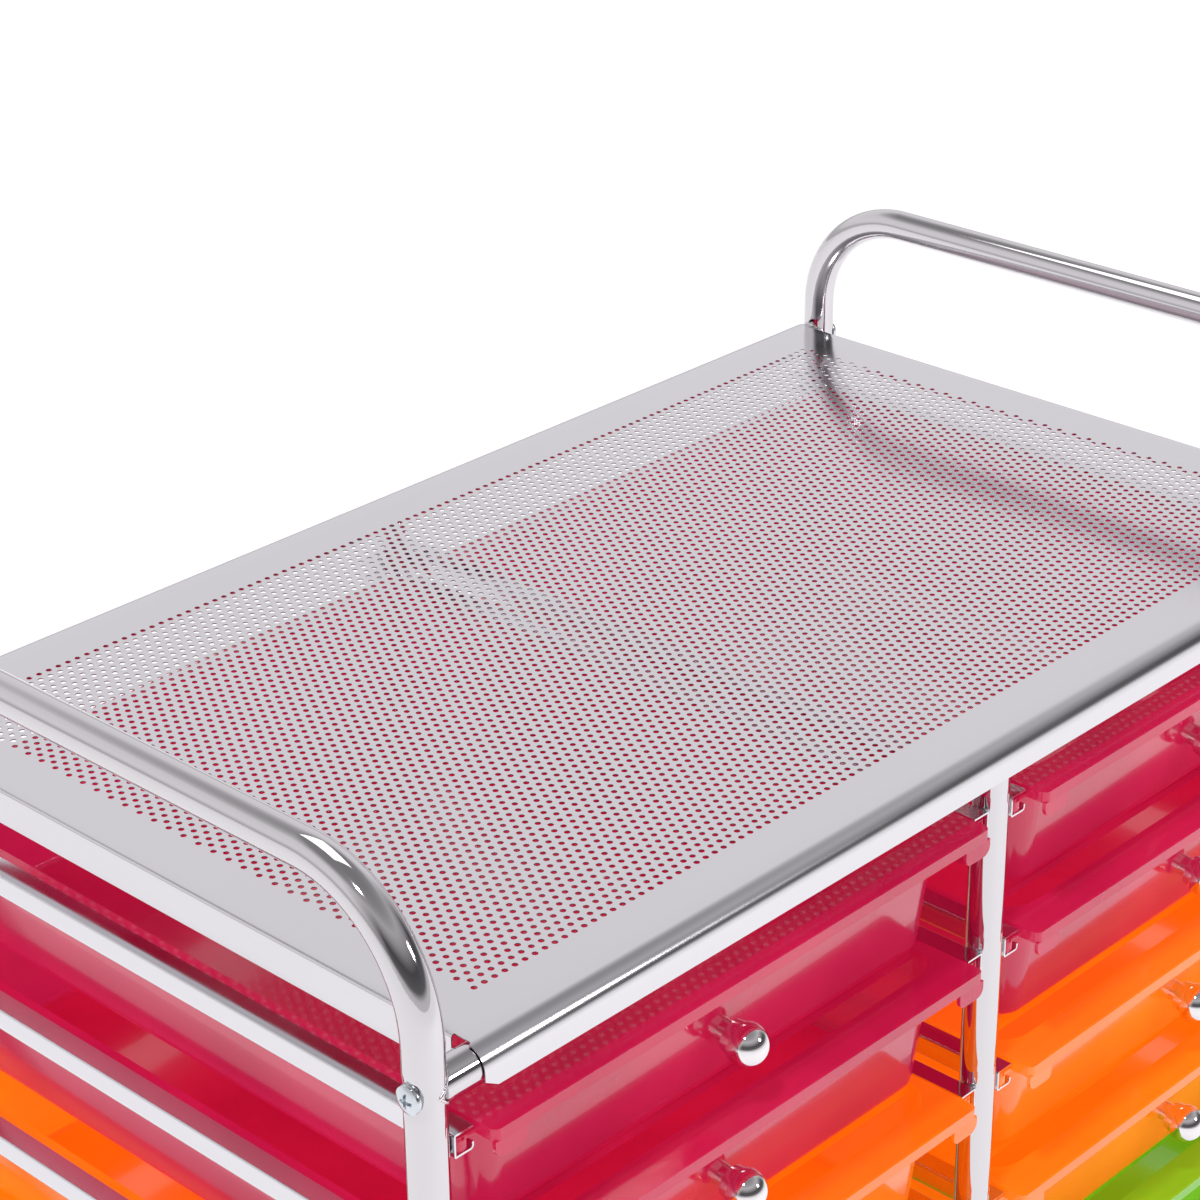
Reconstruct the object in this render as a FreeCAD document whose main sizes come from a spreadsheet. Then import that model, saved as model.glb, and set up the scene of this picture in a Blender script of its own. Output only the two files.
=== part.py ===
import FreeCAD, Part
import os
import re
import Sketcher

# A rolling storage cart: two columns of ten translucent trays that slide on their rims in sheet
# channels, between bent tube side frames whose tops are the handles, under a rolled sheet top.
# Millimetres. The floor is z = 0, x runs along the width, the fronts face -y, and the origin is
# on the floor midway between the four legs.

# Each driving size: its name, its value and what it measures
SIZES = [
    ("frame_length", 612.0, "between the leg axes, side to side"),
    ("frame_depth", 344.0, "between the leg axes, front to back"),
    ("tube_diameter", 15.0, "every frame tube"),
    ("tube_wall", 1.0, "every frame tube"),
    ("weld_gap", 0.05, "coped tube end to the tube it meets"),
    ("panel_height", 885.0, "floor to the top face of the panel"),
    ("handle_rise", 62.5, "panel top face to the handle axis"),
    ("handle_bend", 53.0, "bend radius of the handle on its axis"),
    ("leg_end_height", 68.0, "floor to the cut lower end of a leg"),
    ("base_tube_height", 79.0, "floor to the axis of the lowest tubes"),
    ("panel_left_gap", 12.2, "panel's left side to the left legs"),
    ("panel_right_gap", 4.2, "panel's right side to the right legs"),
    ("panel_sheet", 0.8, "thickness of the top panel"),
    ("panel_seat", 0.05, "panel to the tubes that it rolls over"),
    ("skirt_drop", 15.0, "panel top face to the lower edge of its skirts"),
    ("skirt_bevel_run", 6.0, "cut corner of a skirt, along its edge"),
    ("skirt_bevel_rise", 3.5, "cut corner of a skirt, up its end"),
    ("side_flange_gap", 0.2, "ends of the panel's side folds to the top tubes"),
    ("first_rail_drop", 28.0, "panel top face to the top of the first rails"),
    ("small_rows", 6.0, "rows of shallow trays"),
    ("large_rows", 4.0, "rows of deep trays"),
    ("small_pitch", 65.0, "row height of a shallow tray"),
    ("large_pitch", 95.0, "row height of a deep tray"),
    ("rail_depth", 9.5, "height of a channel rail"),
    ("rail_flange", 9.0, "width of a channel rail"),
    ("rail_sheet", 0.8, "thickness of a channel rail"),
    ("rail_hook", 2.0, "upturned edge of a rail, above its lower flange"),
    ("rail_overhang", 5.0, "rail end past the leg axis"),
    ("tray_length", 343.0, "front edge of the lip to the back edge of the rim"),
    ("lip_reach", 14.0, "front edge of the lip ahead of the leg axis"),
    ("lip_depth", 15.0, "front edge of the lip to the outer face of the front wall"),
    ("lip_rise", 0.5, "top of the lip above the top of the rail"),
    ("lip_side_gap", 1.5, "end of the lip to the edge of the rail"),
    ("lip_corner", 3.0, "rounded corner of the lip"),
    ("skirt_height", 4.9, "top of the lip to the edge of its front skirt"),
    ("tab_height", 11.5, "top of the lip to the lower edge of an end tab"),
    ("tab_width", 15.0, "end tab under the lip"),
    ("back_rim", 6.0, "back edge of the rim behind the back wall"),
    ("wall_inset", 4.5, "edge of the rail to the outer face of a side wall"),
    ("tray_wall", 1.8, "thickness of a tray"),
    ("tray_corner", 18.0, "upright corner of a tray at its top"),
    ("tray_edge", 5.0, "bevel between the walls and the floor, outside"),
    ("draft", 7.0, "lean of a tray's walls, in degrees"),
    ("small_tray_depth", 57.0, "top of the rail to the underside of a shallow tray"),
    ("large_tray_depth", 87.0, "top of the rail to the underside of a deep tray"),
    ("rim_height", 6.0, "rim that runs in the channel"),
    ("rim_side_gap", 0.5, "rim to each side of the channel"),
    ("rim_run_gap", 0.1, "rim to the channel's lower flange"),
    ("rim_setback", 0.5, "front end of the rim behind the end of the rail"),
    ("rim_nose", 2.5, "rounded front end of the rim"),
    ("small_knob_drop", 34.0, "top of the rail to a shallow tray's knob"),
    ("large_knob_drop", 42.0, "top of the rail to a deep tray's knob"),
    ("knob_diameter", 17.4, "widest part of a knob"),
    ("knob_length", 20.5, "front wall to the tip of a knob"),
    ("knob_stem", 9.0, "stem diameter"),
    ("knob_stem_length", 4.0, "front wall to the collar"),
    ("knob_collar", 14.0, "collar diameter"),
    ("knob_dome_start", 8.5, "front wall to the back edge of the dome"),
    ("knob_face_length", 3.1, "shallow slope round the tip of a knob, along its axis"),
    ("knob_face_width", 6.2, "shallow slope round the tip of a knob, across its axis"),
    ("knob_brow_length", 4.2, "steep slope behind it, along the axis"),
    ("knob_brow_width", 3.3, "steep slope behind it, along the shallow slope"),
    ("wheel_diameter", 50.0, "caster wheels"),
    ("wheel_width", 18.0, "caster wheels"),
    ("tread_edge", 2.0, "bevel round each side of a wheel's tread"),
    ("caster_trail", 14.0, "swivel axis to the wheel axis"),
    ("axle_diameter", 5.0, "wheel axles"),
    ("axle_gap", 0.05, "axle to the wheel's bore, each side"),
    ("axle_head_width", 8.0, "six-sided ends of an axle, corner to corner"),
    ("axle_head_height", 1.2, "six-sided ends of an axle"),
    ("arm_sheet", 1.6, "arms and crown of a fork"),
    ("arm_gap", 0.8, "wheel to each arm"),
    ("arm_end_radius", 7.0, "rounded lower end of an arm"),
    ("crown_height", 55.5, "floor to the top of a fork's crown"),
    ("crown_front", 12.0, "swivel axis to the front of the crown"),
    ("crown_back", 15.0, "swivel axis to the back of the crown"),
    ("swivel_diameter", 21.0, "swivel cup on the crown"),
    ("swivel_gap", 0.1, "swivel cup to the socket's collar"),
    ("stem_diameter", 8.0, "caster stems"),
    ("stem_reach", 24.0, "caster stem above the lower end of the leg"),
    ("stem_gap", 0.05, "caster stem to its socket, each side"),
    ("leg_bore_depth", 700.0, "hollow part of a leg, up from its lower end"),
    ("socket_length", 30.0, "socket inside the leg"),
    ("socket_gap", 0.05, "socket to the leg's bore"),
    ("socket_collar", 2.0, "collar of the socket below the leg"),
]

doc = FreeCAD.newDocument("RollingStorageCart")
sheet = doc.addObject("Spreadsheet::Sheet", "Sizes")
for row, (alias, value, meaning) in enumerate(SIZES, start=1):
    sheet.set(f"A{row}", alias)
    sheet.set(f"B{row}", str(value))
    sheet.setAlias(f"B{row}", alias)
    sheet.set(f"C{row}", meaning)
doc.recompute()

ALIASES = re.compile(r"\b(" + "|".join(alias for alias, _, _ in SIZES) + r")\b")
LEFT, RIGHT = -1, 1
SIDES = {"left": LEFT, "right": RIGHT}
ENDS = {"front": -1, "rear": 1}

# Round forms that repeat are drawn with flat sides
TRAY_CORNER_SIDES = 2
SMALL_CORNER_SIDES = 1
KNOB_SIDES = 8
WHEEL_SIDES = 20
TUBE_SIDES = 12
STEM_SIDES = 12
AXLE_HEAD_SIDES = 6
BEND_SIDES = 3

# Places that several pieces share, as formulas of the sheet's names
LEG_X = "(frame_length / 2)"
LEG_Y = "(frame_depth / 2)"
TUBE_BORE = "(tube_diameter - 2 * tube_wall)"
COPE = "(tube_diameter + 2 * weld_gap)"
PANEL_WIDTH = "(frame_length - tube_diameter - panel_left_gap - panel_right_gap)"
PANEL_SHIFT = "((panel_left_gap - panel_right_gap) / 2)"
SIDE_FLANGE_LENGTH = "(frame_depth - tube_diameter - 2 * side_flange_gap)"
ROLL_INNER = "(tube_diameter / 2 + panel_seat)"
ROLL_OUTER = f"({ROLL_INNER} + panel_sheet)"
TOP_TUBE_Z = f"(panel_height - {ROLL_OUTER})"
POST_FACE_X = "(tube_diameter / 2)"
OUTER_FACE_X = f"({LEG_X} - tube_diameter / 2)"
COLUMN_X = f"(({OUTER_FACE_X} + {POST_FACE_X}) / 2)"
COLUMN_HALF = f"(({OUTER_FACE_X} - {POST_FACE_X}) / 2)"
TIP_HALF = f"({COLUMN_HALF} - rail_flange)"
RAIL_LENGTH = "(frame_depth + 2 * rail_overhang)"

LIP_HALF = f"({TIP_HALF} - lip_side_gap)"
BODY_HALF = f"({TIP_HALF} - wall_inset)"
LIP_FRONT = f"(-{LEG_Y} - lip_reach)"
BODY_FRONT = f"({LIP_FRONT} + lip_depth)"
RIM_BACK = f"({LIP_FRONT} + tray_length)"
BODY_BACK = f"({RIM_BACK} - back_rim)"
RIM_TOP = "(-(rail_depth - rail_sheet - rim_run_gap - rim_height))"
RIM_OUT = f"({COLUMN_HALF} - rail_sheet - rim_side_gap)"
RIM_IN = f"({COLUMN_HALF} - rail_flange + rail_sheet + rim_side_gap)"
RIM_FRONT = f"(-{RAIL_LENGTH} / 2 + rim_setback)"

AXLE_Z = "(wheel_diameter / 2)"
SOCKET_FACE_Z = "(leg_end_height - socket_collar)"
FORK_HALF = "(wheel_width / 2 + arm_gap + arm_sheet)"

nodes = {}


def formula(text):
    """Point the names in a formula at the sheet's cells."""
    return ALIASES.sub(r"Sizes.\1", text)


def number(text):
    """The present value of a formula."""
    return float(sheet.evalExpression(formula(text)))


def bind(item, prop, text):
    item.setExpression(prop, formula(text))


def new_body(name, several=False):
    body = doc.addObject("PartDesign::Body", name)
    body.AllowCompound = several
    return body


def origin_item(body, role):
    return next(item for item in body.Origin.OriginFeatures if item.Role == role)


def new_sketch(body, plane, name, height=None):
    """A sketch on one of the body's own origin planes, lifted along the plane's normal."""
    sketch = body.newObject("Sketcher::SketchObject", name)
    sketch.AttachmentSupport = [(origin_item(body, plane), "")]
    sketch.MapMode = "FlatFace"
    if height:
        bind(sketch, "AttachmentOffset.Base.z", height)
    return sketch


def tie(sketch, kind, *where, value):
    """Add one constraint and bind it to its formula."""
    index = sketch.addConstraint(Sketcher.Constraint(kind, *where, number(value)))
    bind(sketch, f"Constraints[{index}]", value)


def tie_point(sketch, shape, end, spot):
    tie(sketch, "DistanceX", -1, 1, shape, end, value=spot[0])
    tie(sketch, "DistanceY", -1, 1, shape, end, value=spot[1])


def at(spot):
    return FreeCAD.Vector(number(spot[0]), number(spot[1]), 0)


def step(start, end):
    """The direction of a run that follows an axis of the sketch, as whole numbers."""
    along = (at(end) - at(start)).normalize()
    return round(along.x), round(along.y)


def shifted(spot, direction, distance):
    return tuple(f"({c} + ({d}) * ({distance}))" for c, d in zip(spot, direction))


def draw(sketch, corners, closed=True):
    """Straight runs from corner to corner, each corner (x, y) or (x, y, radius of its arc)."""
    spots = [corner[:2] for corner in corners]
    radii = [corner[2] if len(corner) > 2 else None for corner in corners]
    count = len(corners)
    runs = count if closed else count - 1
    entry, leave = list(spots), list(spots)
    for i, radius in enumerate(radii):
        if radius:
            way_in = step(spots[i - 1], spots[i])
            way_out = step(spots[i], spots[(i + 1) % count])
            entry[i] = shifted(spots[i], way_in, f"-({radius})")
            leave[i] = shifted(spots[i], way_out, radius)
    lines = []
    for i in range(runs):
        line = Part.LineSegment(at(leave[i]), at(entry[(i + 1) % count]))
        lines.append(sketch.addGeometry(line, False))
    for i in range(runs):
        tie_point(sketch, lines[i], 2, entry[(i + 1) % count])
        before = lines[i - 1] if closed or i else None
        if radii[i] or before is None:
            tie_point(sketch, lines[i], 1, leave[i])
        else:
            sketch.addConstraint(Sketcher.Constraint("Coincident", before, 2, lines[i], 1))
    for i, radius in enumerate(radii):
        if radius:
            round_corner(sketch, spots, entry, leave, i, radius, lines)


def round_corner(sketch, spots, entry, leave, i, radius, lines):
    """The arc of one corner, from the end of the run before it to the start of the run after."""
    start, end = at(entry[i]), at(leave[i])
    centre = start + end - at(spots[i])
    turn = (at(spots[i]) - start).cross(end - at(spots[i])).z
    first, last = (start, end) if turn > 0 else (end, start)
    circle = Part.Circle(centre, FreeCAD.Vector(0, 0, 1), number(radius))
    arc = Part.ArcOfCircle(circle, circle.parameter(first), circle.parameter(last))
    shape = sketch.addGeometry(arc, False)
    enter, exit_ = (1, 2) if turn > 0 else (2, 1)
    sketch.addConstraint(Sketcher.Constraint("Coincident", lines[i - 1], 2, shape, enter))
    sketch.addConstraint(Sketcher.Constraint("Coincident", lines[i], 1, shape, exit_))
    tie(sketch, "Radius", shape, value=radius)


def faceted(corners, sides):
    """The same corners with each arc replaced by short straight sides."""
    flat = []
    for i, corner in enumerate(corners):
        spot, radius = corner[:2], corner[2] if len(corner) > 2 else None
        if not radius:
            flat.append(spot)
            continue
        way_in = step(corners[i - 1][:2], spot)
        way_out = step(spot, corners[(i + 1) % len(corners)][:2])
        for k in range(sides + 1):
            turn = 90 * k / sides
            before = shifted(spot, way_in, f"-({radius}) * (1 - sin({turn} deg))")
            flat.append(shifted(before, way_out, f"({radius}) * (1 - cos({turn} deg))"))
    return flat


def draw_polygon(sketch, sides, diameter, x="0", y="0"):
    """A regular polygon whose corners lie on the given diameter."""
    corners = []
    for i in range(sides):
        turn = 360 * (i + 0.5) / sides
        corners.append((f"{x} + {diameter} / 2 * cos({turn} deg)",
                        f"{y} + {diameter} / 2 * sin({turn} deg)"))
    draw(sketch, corners)


def draw_circle(sketch, x, y, diameter):
    circle = Part.Circle(at((x, y)), FreeCAD.Vector(0, 0, 1), number(diameter) / 2)
    shape = sketch.addGeometry(circle, False)
    tie_point(sketch, shape, 3, (x, y))
    tie(sketch, "Diameter", shape, value=diameter)


def box_corners(x0, x1, y0, y1, radius=None):
    corners = [(x0, y0), (x1, y0), (x1, y1), (x0, y1)]
    return [corner + ((radius,) if radius else ()) for corner in corners]


def extrude(body, kind, sketch, name, length=None, symmetric=False, reverse=False):
    """A Pad or a Pocket. Without a length it goes through everything."""
    feature = body.newObject(f"PartDesign::{kind}", name)
    feature.Profile = sketch
    feature.SideType = "Symmetric" if symmetric else "One side"
    feature.Reversed = reverse
    if length:
        bind(feature, "Length", length)
    else:
        feature.Type = "ThroughAll"
    body.Tip = feature
    doc.recompute()
    return feature


def flat_faces(shape, normal):
    """The names of the faces that look along an axis direction."""
    return [f"Face{i}" for i, face in enumerate(shape.Faces, start=1)
            if (face.normalAt(0, 0) - FreeCAD.Vector(*normal)).Length < 1e-6]


def edges_at(shape, axis, level):
    """The names of the edges that lie in one plane across an axis."""
    return [f"Edge{i}" for i, edge in enumerate(shape.Edges, start=1)
            if all(abs(vertex.Point[axis] - level) < 1e-3 for vertex in edge.Vertexes)]


def lean(body, base, name):
    """Lean the upright walls inwards, down from the flat top."""
    top = flat_faces(base.Shape, (0, 0, 1))
    ends = top + flat_faces(base.Shape, (0, 0, -1))
    walls = [f"Face{i}" for i in range(1, len(base.Shape.Faces) + 1) if f"Face{i}" not in ends]
    feature = body.newObject("PartDesign::Draft", name)
    feature.Base = (base, walls)
    feature.NeutralPlane = (base, top)
    feature.Reversed = True
    bind(feature, "Angle", "draft")
    body.Tip = feature
    doc.recompute()
    return feature


def bevel(body, base, edges, name, size, second=None):
    """Bevel some edges by one size, or by one size on each face."""
    feature = body.newObject("PartDesign::Chamfer", name)
    feature.Base = (base, edges)
    feature.ChamferType = "Two distances" if second else "Equal distance"
    bind(feature, "Size", size)
    if second:
        bind(feature, "Size2", second)
    body.Tip = feature
    doc.recompute()
    return feature


def hollow_out(body, base, wall, name):
    """Leave a wall all round inside, open at the flat top."""
    feature = body.newObject("PartDesign::Thickness", name)
    feature.Base = (base, flat_faces(base.Shape, (0, 0, 1)))
    feature.Join = "Intersection"
    feature.Reversed = True
    bind(feature, "Value", wall)
    body.Tip = feature
    doc.recompute()
    return feature


def pipe(body, kind, profile, spine, name):
    feature = body.newObject(f"PartDesign::{kind}", name)
    feature.Profile = profile
    feature.Spine = (spine, [])
    feature.Transition = "Right corner"
    body.Tip = feature
    doc.recompute()
    return feature


def repeat_down(body, feature, pitch, rows, name):
    """Rows of a feature down the body's own vertical axis."""
    pattern = body.newObject("PartDesign::LinearPattern", name)
    pattern.Originals = [feature]
    pattern.Direction = (origin_item(body, "Z_Axis"), [""])
    pattern.Reversed = True
    pattern.Mode = "Spacing"
    bind(pattern, "Offset", pitch)
    bind(pattern, "Occurrences", rows)
    body.Tip = pattern
    doc.recompute()


def place(item, x="0", y="0", z="0"):
    for axis, text in zip("xyz", (x, y, z)):
        bind(item, f"Placement.Base.{axis}", text)


def copy_of(master, name, x="0", y="0", z="0"):
    """A copy that follows its master's sizes."""
    copy = doc.addObject("Part::Compound", name)
    copy.Links = [master]
    place(copy, x, y, z)
    return copy


def group(name, pieces):
    together = doc.addObject("Part::Compound", name)
    together.Links = pieces
    return together


def keep(item, name):
    """Name a sub-part, which also names its file."""
    item.Label = name
    nodes[name] = item


# Frame tubes
def side_frame(name, side):
    """One bent tube makes both legs and the handle, with a rung welded between its legs."""
    body = new_body(name)
    bar = "(panel_height + handle_rise)"
    bend_start = f"({bar} - handle_bend)"
    route = [(f"-{LEG_Y}", "leg_end_height"), (f"-{LEG_Y}", bar, "handle_bend"),
             (LEG_Y, bar, "handle_bend"), (LEG_Y, "leg_end_height")]
    spine = new_sketch(body, "YZ_Plane", f"{name}_line")
    draw(spine, faceted(route, BEND_SIDES), closed=False)
    outside = new_sketch(body, "XY_Plane", f"{name}_outside", "leg_end_height")
    draw_circle(outside, "0", f"-{LEG_Y}", "tube_diameter")
    pipe(body, "AdditivePipe", outside, spine, f"{name}_tube")
    rung = new_sketch(body, "XZ_Plane", f"{name}_rung_circle")
    draw_circle(rung, "0", "base_tube_height", "tube_diameter")
    extrude(body, "Pad", rung, f"{name}_rung", "frame_depth", symmetric=True)
    bores = new_sketch(body, "XY_Plane", f"{name}_bore_circles", "leg_end_height")
    for end in ENDS.values():
        draw_polygon(bores, TUBE_SIDES, TUBE_BORE, y=f"{end} * {LEG_Y}")
    extrude(body, "Pocket", bores, f"{name}_bores", "leg_bore_depth", reverse=True)
    place(body, x=f"{side} * {LEG_X}")
    keep(body, name)


def cross_tube(name, meets_rungs=False):
    """A straight tube from leg to leg, coped to fit round them and any rungs on its +y side."""
    body = new_body(name)
    section = new_sketch(body, "YZ_Plane", f"{name}_section")
    draw_polygon(section, TUBE_SIDES, "tube_diameter")
    extrude(body, "Pad", section, f"{name}_length", "frame_length", symmetric=True)
    legs = new_sketch(body, "XY_Plane", f"{name}_legs")
    rungs = new_sketch(body, "XZ_Plane", f"{name}_rungs") if meets_rungs else None
    for side in SIDES.values():
        draw_circle(legs, f"{side} * {LEG_X}", "0", COPE)
        if meets_rungs:
            draw_circle(rungs, f"{side} * {LEG_X}", "0", COPE)
    extrude(body, "Pocket", legs, f"{name}_cope", symmetric=True)
    if meets_rungs:
        extrude(body, "Pocket", rungs, f"{name}_rung_cope", "tube_diameter")
    return body


def centre_post():
    """An upright between the lower and upper tubes, coped to fit round both."""
    body = new_body("centre_post")
    section = new_sketch(body, "XY_Plane", "centre_post_section", "base_tube_height")
    draw_polygon(section, TUBE_SIDES, "tube_diameter")
    extrude(body, "Pad", section, "centre_post_length", f"{TOP_TUBE_Z} - base_tube_height")
    tubes = new_sketch(body, "YZ_Plane", "centre_post_tubes")
    for height in ("base_tube_height", TOP_TUBE_Z):
        draw_circle(tubes, "0", height, COPE)
    extrude(body, "Pocket", tubes, "centre_post_cope", symmetric=True)
    return body


def make_frame():
    for word, side in SIDES.items():
        side_frame(f"{word}_side_frame", side)
    tube, lower_tube = cross_tube("cross_tube"), cross_tube("lower_tube", meets_rungs=True)
    post = centre_post()
    for word, end in ENDS.items():
        name = f"{word}_top_tube"
        keep(copy_of(tube, name, y=f"{end} * {LEG_Y}", z=TOP_TUBE_Z), name)
    lower = [copy_of(lower_tube, f"{word}_bottom_tube", y=f"{end} * {LEG_Y}",
                     z="base_tube_height") for word, end in ENDS.items()]
    lower[1].Placement.Rotation = FreeCAD.Rotation(FreeCAD.Vector(0, 0, 1), 180)
    keep(group("bottom_tube_pair", lower), "bottom_tubes")
    posts = [copy_of(post, f"{word}_centre_post", y=f"{end} * {LEG_Y}")
             for word, end in ENDS.items()]
    keep(group("centre_post_pair", posts), "centre_posts")


# Top panel: flat in the middle, rolled down over the front and rear tubes, folded at its sides
def make_panel():
    body = new_body("panel")
    edge = f"({LEG_Y} + {ROLL_OUTER})"
    inner_edge = f"({LEG_Y} + {ROLL_INNER})"
    profile = new_sketch(body, "YZ_Plane", "panel_profile")
    draw(profile, [(f"-{edge}", "-skirt_drop"), (f"-{inner_edge}", "-skirt_drop"),
                   (f"-{inner_edge}", "-panel_sheet", ROLL_INNER),
                   (inner_edge, "-panel_sheet", ROLL_INNER), (inner_edge, "-skirt_drop"),
                   (edge, "-skirt_drop"), (edge, "0", ROLL_OUTER), (f"-{edge}", "0", ROLL_OUTER)])
    extrude(body, "Pad", profile, "panel_sheet_form", PANEL_WIDTH, symmetric=True)
    bevels = new_sketch(body, "XZ_Plane", "panel_bevels")
    for side in SIDES.values():
        end = f"({side} * {PANEL_WIDTH} / 2)"
        draw(bevels, [(end, "-skirt_drop"), (end, "-skirt_drop + skirt_bevel_rise"),
                      (f"{end} - {side} * skirt_bevel_run", "-skirt_drop")])
    extrude(body, "Pocket", bevels, "panel_bevel_cuts", symmetric=True)
    folds = new_sketch(body, "XZ_Plane", "panel_folds")
    for side in SIDES.values():
        outer = f"({side} * {PANEL_WIDTH} / 2)"
        inner = f"({outer} - {side} * panel_sheet)"
        draw(folds, box_corners(inner, outer, "-skirt_drop", "0"))
    extrude(body, "Pad", folds, "panel_side_folds", SIDE_FLANGE_LENGTH, symmetric=True)
    place(body, x=PANEL_SHIFT, z="panel_height")
    keep(body, "top_panel")


# Channel rails, welded to the legs and posts in two spacings
def rail_stack(name, opening):
    """One column of channels whose open side faces the given way, webs at x = 0, from z = 0 down."""
    body = new_body(name, several=True)
    tip = f"({opening} * rail_flange)"
    hook = f"({opening} * (rail_flange - rail_sheet))"
    web = f"({opening} * rail_sheet)"
    first_large = "(small_rows * small_pitch)"
    for size, drop, pitch, rows in (("small", "0", "small_pitch", "small_rows"),
                                    ("large", first_large, "large_pitch", "large_rows")):
        channel = new_sketch(body, "XZ_Plane", f"{name}_{size}_channel")
        floor = f"(-{drop} - rail_depth)"
        draw(channel, [("0", f"-{drop}"), (tip, f"-{drop}"), (tip, f"-{drop} - rail_sheet"),
                       (web, f"-{drop} - rail_sheet"), (web, f"{floor} + rail_sheet"),
                       (hook, f"{floor} + rail_sheet"), (hook, f"{floor} + rail_sheet + rail_hook"),
                       (tip, f"{floor} + rail_sheet + rail_hook"), (tip, floor), ("0", floor)])
        rail = extrude(body, "Pad", channel, f"{name}_{size}", RAIL_LENGTH, symmetric=True)
        repeat_down(body, rail, pitch, rows, f"{name}_{size}_rows")
    return body


def make_rails():
    opens_right, opens_left = rail_stack("rails_a", RIGHT), rail_stack("rails_b", LEFT)
    top = "(panel_height - first_rail_drop)"
    keep(copy_of(opens_right, "left_rails", f"-{OUTER_FACE_X}", z=top), "left_outer_rails")
    keep(copy_of(opens_left, "right_rails", OUTER_FACE_X, z=top), "right_outer_rails")
    inner = [copy_of(opens_right, "post_rails_a", POST_FACE_X, z=top),
             copy_of(opens_left, "post_rails_b", f"-{POST_FACE_X}", z=top)]
    keep(group("post_rails", inner), "centre_rails")


# Trays
def tray(name, depth):
    """A moulded tray about its column's middle, with z = 0 at the top of its rails."""
    body = new_body(name)
    walls = box_corners(f"-{BODY_HALF}", BODY_HALF, BODY_FRONT, BODY_BACK, "tray_corner")
    outer = new_sketch(body, "XY_Plane", f"{name}_outline", RIM_TOP)
    draw(outer, faceted(walls, TRAY_CORNER_SIDES))
    block = extrude(body, "Pad", outer, f"{name}_block", f"({depth} + {RIM_TOP})", reverse=True)
    leaning = lean(body, block, f"{name}_draft")
    floor_edge = edges_at(leaning.Shape, 2, -number(depth))
    softened = bevel(body, leaning, floor_edge, f"{name}_floor_edge", "tray_edge")
    hollow_out(body, softened, "tray_wall", f"{name}_hollow")
    ledge = new_sketch(body, "XY_Plane", f"{name}_ledge_outline", RIM_TOP)
    rim = box_corners(f"-{RIM_OUT}", RIM_OUT, RIM_FRONT, RIM_BACK, "rim_nose")
    draw(ledge, faceted(rim, SMALL_CORNER_SIDES))
    draw(ledge, faceted(inset(walls, "(tray_wall / 2)"), TRAY_CORNER_SIDES))
    extrude(body, "Pad", ledge, f"{name}_ledge", "tray_wall", reverse=True)
    runners = new_sketch(body, "XY_Plane", f"{name}_runner_outlines", RIM_TOP)
    for side in SIDES.values():
        edges = sorted((f"{side} * {RIM_IN}", f"{side} * {RIM_OUT}"), key=number)
        runner = box_corners(*edges, RIM_FRONT, RIM_BACK, "rim_nose")
        draw(runners, faceted(runner, SMALL_CORNER_SIDES))
    extrude(body, "Pad", runners, f"{name}_runners", "rim_height", reverse=True)
    front_lip(body, name)
    mouth = new_sketch(body, "XY_Plane", f"{name}_mouth_outline", RIM_TOP)
    draw(mouth, faceted(inset(walls, "tray_wall"), TRAY_CORNER_SIDES))
    extrude(body, "Pocket", mouth, f"{name}_mouth", f"lip_rise - {RIM_TOP}", reverse=True)
    return body


def inset(corners, distance):
    """A box's corners moved inwards, with their arcs made smaller to suit."""
    moves = ((1, 1), (-1, 1), (-1, -1), (1, -1))
    return [(f"({x} + {dx} * {distance})", f"({y} + {dy} * {distance})", f"({r} - {distance})")
            for (x, y, r), (dx, dy) in zip(corners, moves)]


def front_lip(body, name):
    """The lip over the front wall: a flat top, a thin front skirt and a deeper tab at each end."""
    below = f"(skirt_height - lip_rise + {RIM_TOP})"
    layers = (("lip", f"({BODY_FRONT} + tray_corner)", "lip_rise", f"lip_rise - {RIM_TOP}"),
              ("skirt", BODY_FRONT, RIM_TOP, below))
    for label, back, top, height in layers:
        lip = box_corners(f"-{LIP_HALF}", LIP_HALF, LIP_FRONT, back)
        corners = [corner + ("lip_corner",) for corner in lip[:2]] + lip[2:]
        plate = new_sketch(body, "XY_Plane", f"{name}_{label}_outline", top)
        draw(plate, faceted(corners, SMALL_CORNER_SIDES))
        extrude(body, "Pad", plate, f"{name}_{label}", height, reverse=True)
    tabs = new_sketch(body, "XZ_Plane", f"{name}_tab_outlines", f"-{LIP_FRONT} - tray_wall")
    for side in SIDES.values():
        outer, inner = f"{side} * ({LIP_HALF} - lip_corner)", f"{side} * ({LIP_HALF} - tab_width)"
        low = "(lip_rise - tab_height)"
        tab = [(outer, RIM_TOP), (outer, low, "lip_corner"), (inner, low, "lip_corner"),
               (inner, RIM_TOP)]
        draw(tabs, faceted(tab, SMALL_CORNER_SIDES))
    extrude(body, "Pad", tabs, f"{name}_tabs", "tray_wall")
    under = new_sketch(body, "XY_Plane", f"{name}_under_outline", "lip_rise - skirt_height")
    draw(under, box_corners(f"-{LIP_HALF} + tray_wall", f"{LIP_HALF} - tray_wall",
                            f"{LIP_FRONT} + tray_wall", BODY_FRONT))
    extrude(body, "Pocket", under, f"{name}_under", "skirt_height - tray_wall", reverse=True)


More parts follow.
